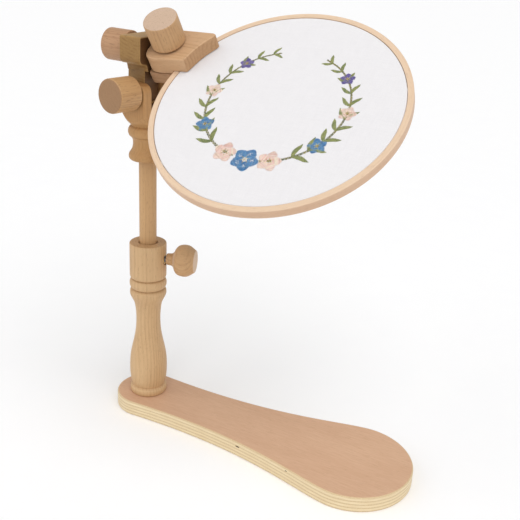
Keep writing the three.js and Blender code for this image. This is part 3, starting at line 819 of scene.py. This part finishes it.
def make_link():
    """A tenon between the ears, with a cross block on top that is square to the stand."""
    square, top, foot = turn(-HEAD_TURN, "Z"), LINK_UNDER + 1.5, 9
    side = [
        (LINK_BACK, top), (LINK_BACK, TENON_LOW, foot),
        (TENON_FRONT, TENON_LOW, foot), (TENON_FRONT, top),
    ]
    tenon = slab("tenon", rounded(side, 10), -TENON_HALF_Y, TENON_HALF_Y, 0.8, 3)
    neck, under, half, high = TENON_HALF_Y, LINK_UNDER, LINK_HALF_Y, LINK_TOP
    right = [
        (neck, under - 6), (neck + 1.6, under - 0.6, 2.5), (half, under + 1.2, 6), (half, high, 2.2),
    ]
    left = [(-y, *rest) for y, *rest in reversed(right)]
    bar = slab("bar", rounded([left[-1]] + right + left[:-1], 8), LINK_BACK, LINK_FRONT, 1.2, 4)
    # The bar's outline is drawn in (y, z): its x goes to Y, its y to Z and its height to X.
    on_side = Matrix(((0, 0, 1, 0), (1, 0, 0, 0), (0, 1, 0, 0), (0, 0, 0, 1)))
    link = combine(moved(tenon, Z_TO_NEAR), moved(bar, square @ on_side), "UNION")
    cut_from(
        link,
        cylinder(BOLT_HOLE, -THROUGH, THROUGH, Z_TO_NEAR),
        cylinder(BOLT_HOLE, -THROUGH, THROUGH, shift(0, 0, PIVOT_RISE) @ square @ Z_TO_RIGHT),
    )
    place(link, "link", LINK, "link", "link", "turned_beech", "link_arm")


def jaw_line(heel):
    """A jaw from above. Its front edge bows a little, and heel rounds its near rear corner."""
    return rounded([
        (JAW_REAR_X, -18.5, heel), (46.3, -14, 2.5), (51.5, 5.5, 60), (61.8, 22, 3.5),
        (JAW_REAR_X, 19, 4),
    ], 10)


def rim_room():
    """Cutters for the rim's groove, and for the tension screw behind it."""
    floor, roof = HOOP_Z - GAP, HOOP_Z + HOOP_HIGH + GAP
    centre = shift(HOOP_X, HOOP_Y, 0)
    screw_room = moved(block(90, 114.3, -14.5, 14.5, floor, roof), centre @ turn(TO_CLAMP, "Z"))
    return cylinder(HOOP_R + 0.4, floor, roof, centre, 220), screw_room


def make_jaws():
    lower_top, bolt_at = -JAW_TOP - JAW_SPLIT, shift(CLAMP_X, CLAMP_Y, 0)
    upper = slab("upper", jaw_line(11), -JAW_TOP, JAW_TOP, JAW_EASE, 4)
    bolt = cylinder(BOLT_HOLE, -THROUGH, THROUGH, bolt_at)
    socket = cylinder(BUSH_R + GAP, JAW_REAR_X - 1, JAW_REAR_X + 12, Z_TO_RIGHT)
    cut_from(upper, *rim_room(), bolt, socket)
    place(upper, "jaw_above", CLAMP, "clamp", "jaw_top", "turned_beech", "upper_jaw")
    lower = slab("lower", jaw_line(4), lower_top - JAW_LOWER, lower_top, JAW_EASE, 4)
    cut_from(lower, *rim_room(), cylinder(BOLT_HOLE, -THROUGH, THROUGH, bolt_at))
    place(lower, "jaw_below", CLAMP, "lower_jaw", "jaw_low", "turned_beech", "lower_jaw")


# Hoop -------------------------------------------------------
def swept(name, section, a0, a1, steps):
    """A closed (r, z) section swept about +Z from angle a0 to a1."""
    rings = []
    for i in range(steps + 1):
        a = a0 + (a1 - a0) * i / steps
        rings.append([(p.x * math.cos(a), p.x * math.sin(a), p.y) for p in section])
    return loft(name, rings)


def make_rings():
    square, steps = turn(RING_TURN, "Z"), 240
    inside, high, slit = HOOP_R - WALL, HOOP_HIGH, math.pi - SLIT / HOOP_R
    section = [(inside, 0, 0.5), (HOOP_R, 0, 0.9), (HOOP_R, high, 0.9), (inside, high, 0.5)]
    outer = moved(swept("outer", rounded(section, 4), -slit, slit, steps), square)
    place(outer, "ring_outer", HOOP, "hoop", "outer", "hoop_wood", "hoop_outer_ring")
    inside, high = INNER_R - INNER_WALL, HOOP_HIGH - 1.0
    section = [(inside, 0, 0.5), (INNER_R, 0, 0.6), (INNER_R, high, 0.8), (inside, high, 0.5)]
    inner = moved(turned("inner", rounded(section, 4), steps), square)
    place(inner, "ring_inner", HOOP, "hoop", "inner", "hoop_wood", "hoop_inner_ring")


def make_cloth():
    """A disc stretched over the inner ring, turned down between the rings."""
    top, low, hem, wall = CLOTH_TOP, CLOTH_TOP - CLOTH_THICK, CLOTH_HEM, INNER_R + 0.08
    outside = wall + CLOTH_THICK
    over = rounded([(outside, hem), (outside, top, 0.9), (90, top)], 5, False)
    under = rounded([(90, low), (wall, low, 0.5), (wall, hem)], 5, False)
    radii = range(80, -1, -10)
    line = [(r, low) for r in reversed(radii)] + under + over + [(r, top) for r in radii]
    cloth = turned("cloth", line, 144)
    place(cloth, "stretched_cotton", HOOP, "hoop", "cloth", "cloth", "fabric")
    return cloth


# Embroidery, in the hoop's plane ----------------------------
STEM = [(118, 110, 52), (138, 128, 62), (96, 96, 54), (84, 94, 66)]
LEAF = [(120, 128, 74), (142, 144, 84), (104, 116, 70)]
GOLD = [(206, 176, 96), (190, 158, 84), (222, 198, 126)]
PINK = [(238, 200, 188), (244, 214, 200), (230, 184, 172), (246, 224, 198)]
VIOLET = [(96, 84, 148), (112, 98, 162), (84, 76, 134)]
BLUE = [(60, 110, 162), (74, 120, 168), (78, 126, 172), (98, 144, 184)]


class Stitches:
    """Collects raised stitches, each a tapered strand with its own dye."""

    def __init__(self, seed):
        self.verts, self.faces, self.dyes = [], [], []
        self.random = random.Random(seed)

    def stitch(self, a, b, dyes, lift, r=0.2, floor=0.0):
        """One strand from a to b that arches over the cloth, or over stitches floor high."""
        length = (b - a).length
        if length < 0.3:
            return
        along = (b - a) / length
        side = Vector((-along.y, along.x))
        base = CLOTH_TOP + floor
        dye = rgb(*self.random.choice(dyes))
        dye = times(dye, self.random.uniform(0.82, 1.12))
        first = len(self.verts)
        self.verts.append((a.x, a.y, base - 0.05))
        for t, swell in ((0.14, 0.85), (0.5, 1.0), (0.86, 0.85)):
            p = a + (b - a) * t
            arch = lift * (1 - (2 * t - 1) ** 2)
            for across, up in ((-1, 0), (0, 1), (1, 0), (0, -1)):
                q = p + side * (across * r * swell)
                self.verts.append((q.x, q.y, base + arch * 0.5 + up * r * swell * 0.8))
        self.verts.append((b.x, b.y, base - 0.05))
        last = len(self.verts) - 1
        rows = [first + 1 + 4 * k for k in range(3)]
        for i in range(4):
            j = (i + 1) % 4
            self.faces.append((first, rows[0] + j, rows[0] + i))
            for low, high in zip(rows, rows[1:]):
                self.faces.append((low + i, low + j, high + j, high + i))
            self.faces.append((last, rows[2] + i, rows[2] + j))
        self.dyes += [dye] * (len(self.verts) - first)

    def curve(self, points, steps):
        """Evenly stepped points and directions on a smooth line, and the line's length."""
        line = flowing([tuple(p) for p in points], 12)
        lengths = [0.0]
        for p, q in zip(line, line[1:]):
            lengths.append(lengths[-1] + (q - p).length)
        found, k = [], 0
        for i in range(steps + 1):
            want = lengths[-1] * i / steps
            while k < len(line) - 2 and lengths[k + 1] < want:
                k += 1
            span = max(lengths[k + 1] - lengths[k], 1e-9)
            t = (want - lengths[k]) / span
            found.append((line[k].lerp(line[k + 1], t), (line[k + 1] - line[k]).normalized()))
        return found, lengths[-1]

    def satin(self, points, width, dyes, slant, lift, pace=0.4, longest=7.0):
        """Stitches laid side by side across a line whose width varies along it."""
        steps = max(3, int(self.curve(points, 4)[1] / pace))
        for i, (p, along) in enumerate(self.curve(points, steps)[0]):
            t = i / steps
            half = width(t) / 2
            if half < 0.12:
                continue
            side = Vector((-along.y, along.x))
            lean = along * slant * half
            jitter = self.random.uniform(-0.12, 0.12)
            left, right = p + side * (half + jitter) - lean, p - side * (half - jitter) + lean
            pieces = max(1, round(2 * half / longest))
            cuts = [0.0]
            for k in range(1, pieces):
                cuts.append((k + self.random.uniform(-0.3, 0.3)) / pieces)
            cuts.append(1.0)
            for c0, c1 in zip(cuts, cuts[1:]):
                self.stitch(left.lerp(right, c0), left.lerp(right, c1), dyes, lift, 0.21)

    def strands(self, points, width, dyes, rows=5, long=2.8, lift=0.26):
        """Rows of stitches laid along a line, end to end."""
        steps = max(2, int(self.curve(points, 4)[1] / long))
        line = self.curve(points, steps * 4)[0]
        for row in range(rows):
            across = (row + 0.5) / rows - 0.5
            start = self.random.randrange(4)
            for k in range(start, len(line) - 3, 4):
                ends = []
                for m in (k, min(k + 4, len(line) - 1)):
                    p, along = line[m]
                    offset = across * width(m / (len(line) - 1)) + self.random.uniform(-0.06, 0.06)
                    ends.append(p + Vector((-along.y, along.x)) * offset)
                self.stitch(*ends, dyes, lift)

    def blossom(self, x, y, r, dyes, tilt=0.0):
        """Five petals and a gold centre."""
        centre = Vector((x, y))
        for k in range(5):
            out = polar(1, tilt + 2 * math.pi * k / 5)
            root, tip = centre + out * r * 0.2, centre + out * r
            self.satin(
                [root, (root + tip) / 2, tip],
                lambda t: r * 1.02 * math.sin(math.pi * min(1, 0.16 + 0.8 * t)) ** 0.7, dyes, 0.15, 0.4,
            )
        for k in range(6):
            tip = centre + polar(1, tilt + 0.4 + 2 * math.pi * k / 6) * r * 0.38
            self.stitch(centre, tip, GOLD, 0.4, 0.17, 0.35)

    def leaf(self, x, y, angle, long):
        root, out = Vector((x, y)), polar(1, math.radians(angle))
        bend = Vector((-out.y, out.x)) * long * 0.08
        self.satin(
            [root, root + out * long * 0.5 + bend, root + out * long],
            lambda t: long * 0.34 * math.sin(math.pi * min(1, 0.08 + 0.9 * t)), LEAF, 0.9, 0.3,
        )

    def to_object(self, name):
        mesh = bpy.data.meshes.new(name)
        mesh.from_pydata([tuple(c * MM for c in v) for v in self.verts], [], self.faces)
        dye = mesh.color_attributes.new("dye", "FLOAT_COLOR", "POINT")
        dye.data.foreach_set("color", [c for dye_color in self.dyes for c in dye_color])
        for polygon in mesh.polygons:
            polygon.use_smooth = True
        return new_object(name, mesh)


def make_embroidery():
    """A plain wreath: two leafy stems that curve up from a row of simple flowers."""
    s = Stitches(seed=7)
    reach = 58
    for side in (-1, 1):
        def on_stem(degrees):
            a = math.radians(degrees)
            return side * reach * math.sin(a), -reach * math.cos(a)

        s.strands([on_stem(d) for d in range(10, 166, 15)], lambda t: 2.4 - 1.2 * t, STEM)
        for k, degrees in enumerate(range(36, 166, 13)):
            a = math.radians(degrees)
            heading = math.degrees(math.atan2(math.sin(a), side * math.cos(a)))
            for spread in (-42, 42):
                s.leaf(*on_stem(degrees), heading + spread, 14 - 0.5 * k)
        for degrees, r, dyes, tilt in (
            (19, 9.5, PINK, 0.3), (56, 7.5, BLUE, 0.8), (93, 7.0, PINK, 0.2), (130, 6.0, VIOLET, 0.6),
        ):
            s.blossom(*on_stem(degrees), r, dyes, tilt)
    s.blossom(0, -reach, 11, BLUE)
    stitched = s.to_object("embroidery")
    stitched.matrix_world = HOOP
    stitched.data.materials.append(MATERIALS["thread"])
    bpy.context.view_layer.update()
    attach(stitched, "hoop")
    return stitched


def make_tension_screw():
    edge, ear = LUG_NEAR + 8.8, LUG_NEAR + 2
    for name, side, node in (("lug_a", -1, "hoop_lug_left"), ("lug_b", 1, "hoop_lug_right")):
        across = sorted((side * LUG_NEAR, side * edge))
        plate = block(HOOP_R, HOOP_R + 1.3, *across, LUG_LOW, LUG_HIGH)
        across = sorted((side * LUG_NEAR, side * ear))
        tab = block(HOOP_R + 0.6, TENSION_R + 3, *across, LUG_LOW, LUG_HIGH)
        hole = cylinder(TENSION_HOLE, -6, 6, shift(TENSION_R, 0, TENSION_Z) @ Z_TO_NEAR, 32)
        lug = cut_from(combine(plate, tab, "UNION"), hole)
        place(lug, name, MOUTH, "hoop", "brass", "brass", node)
    r, under, top = 2.9, -4.5, -7.6
    head = turned("screw_head", [(0, top), (r - 0.5, top), (r, top + 0.5), (r, under), (0, under)], 48)
    cut_from(head, block(-4, 4, -0.5, 0.5, top - 0.4, top + 1))
    screw = joined("tension_screw", head, threaded("shank", 1.5, under - 0.3, 9.5, 0.7, 20))
    place_steel(screw, "tension_screw", TENSION, "hoop_screw", "hoop_tension_screw")
    r, low, high, ease = 3, 4.5, 7.5, 0.3
    line = [(r - ease, low), (r, low + ease), (r, high - ease), (r - ease, high)]
    nut = turned("nut", [(TENSION_HOLE, low)] + line + [(TENSION_HOLE, high)], 48)
    place(nut, "tension_nut", TENSION, "hoop_nut", "brass", "brass", "hoop_tension_nut")


# Stage ------------------------------------------------------
FLOOR_HALF = 30  # metres
CAMERA_LENS, CAMERA_ROLL = 54.43, math.radians(-3.08)
CAMERA_AT, CAMERA_FORWARD = (0.28335, -0.56908, 0.44387), (-0.4175, 0.8267, -0.3772)


def make_stage():
    bm = bmesh.new()
    corners = ((-1, -1), (1, -1), (1, 1), (-1, 1))
    bm.faces.new([bm.verts.new((FLOOR_HALF * x, FLOOR_HALF * y, 0)) for x, y in corners])
    floor = to_object("floor", bm)
    g = Graph("pale_floor")
    speck = g.noise(g.points(), 0.02, 2.0)
    g.finish(g.mix(speck, rgb(255, 255, 255), rgb(253, 253, 254)), 0.75)
    floor.data.materials.append(g.material)

    world = bpy.data.worlds.new("studio")
    bpy.context.scene.world = world
    world.use_nodes = True
    tree = world.node_tree
    sky = tree.nodes["Background"]
    sky.inputs[0].default_value = (1.0, 1.0, 1.0, 1.0)
    # The backdrop looks white, and lights the stand less than it shows.
    seen = tree.nodes.new("ShaderNodeLightPath").outputs["Is Camera Ray"]
    strength = tree.nodes.new("ShaderNodeMapRange")
    strength.inputs["To Min"].default_value = 0.56
    strength.inputs["To Max"].default_value = 1.0
    tree.links.new(seen, strength.inputs["Value"])
    tree.links.new(strength.outputs[0], sky.inputs[1])

    def sun(name, toward, power, spread):
        light = bpy.data.lights.new(name, "SUN")
        light.angle = math.radians(spread)
        light.energy = power
        obj = new_object(name, light)
        obj.rotation_mode = "QUATERNION"
        obj.rotation_quaternion = Vector(toward).to_track_quat("Z", "Y")

    sun("key", (0.55, -0.45, 1.0), 1.45, 55)
    sun("fill", (-0.7, -0.6, 0.55), 0.55, 60)


def make_camera():
    data = bpy.data.cameras.new("camera")
    data.sensor_width = 36
    data.lens = CAMERA_LENS
    data.clip_start = 0.01
    data.clip_end = 100
    camera = new_object("camera", data)
    forward = Vector(CAMERA_FORWARD).normalized()
    right = forward.cross(Vector((0, 0, 1))).normalized()
    down = forward.cross(right)
    cos, sin = math.cos(CAMERA_ROLL), math.sin(CAMERA_ROLL)
    axes = Matrix((right * cos + down * sin, right * sin - down * cos, -forward)).transposed()
    camera.matrix_world = Matrix.Translation(CAMERA_AT) @ axes.to_4x4()
    bpy.context.scene.camera = camera


make_camera()
make_stage()
make_base()
make_post()
make_mast()
make_height_knob()
make_lower_pivot()
make_upper_pivot()
make_clamp_bolt()
make_height_screw()
make_foot_bolt()
make_head()
make_link()
make_jaws()
make_rings()
make_tension_screw()
cloth = make_cloth()
embroidery = make_embroidery()

bpy.context.scene.view_settings.view_transform = "Standard"
bpy.context.view_layer.update()
